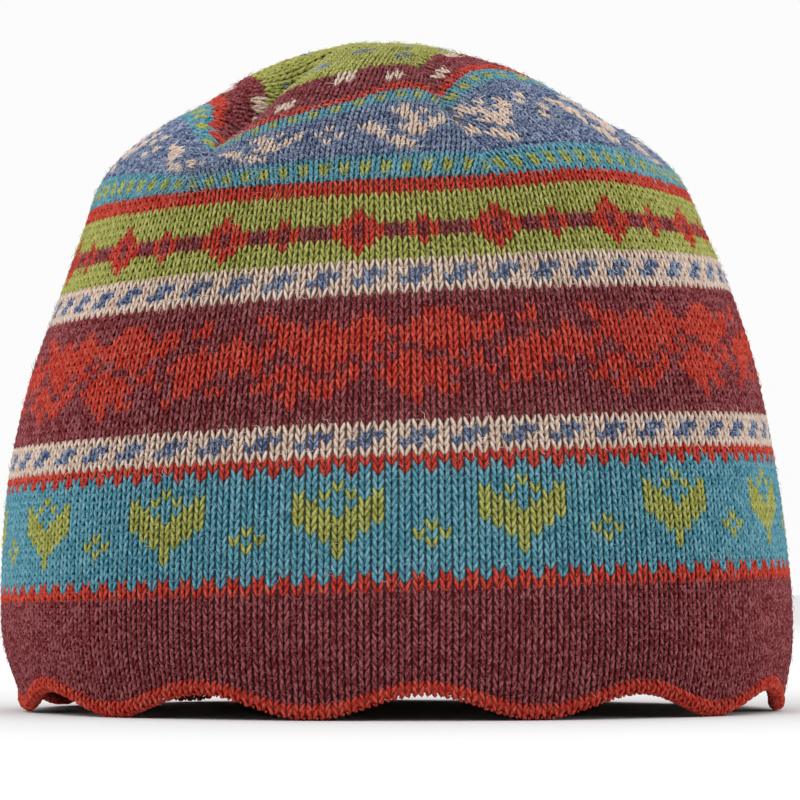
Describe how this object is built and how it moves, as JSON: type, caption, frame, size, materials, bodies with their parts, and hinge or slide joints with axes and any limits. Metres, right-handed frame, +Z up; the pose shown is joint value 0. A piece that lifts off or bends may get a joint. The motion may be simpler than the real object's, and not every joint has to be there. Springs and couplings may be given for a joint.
{
  "type": "knitted beanie",
  "caption": "Stranded colourwork beanie with a scalloped edging, a knitted side in patterned bands and a crown taken in by darts.",
  "frame": {"origin": "centre of the hat's outline on the surface that its scallop tips stand on", "axes": "+Z up through the crown, -Y towards the front, +X to the right of the front as it is looked at"},
  "size_m": [0.19, 0.1881, 0.1611],
  "materials": {
    "red_edging_wool": "fuzzy knitted wool, matte",
    "side_wool": "stranded stockinette in heathered wool, matte",
    "crown_wool": "stranded stockinette in heathered wool, matte"
  },
  "bodies": {
    "root": {"scalloped_edging": "red_edging_wool", "knitted_side": "side_wool", "crown": "crown_wool"}
  },
  "joints": []
}
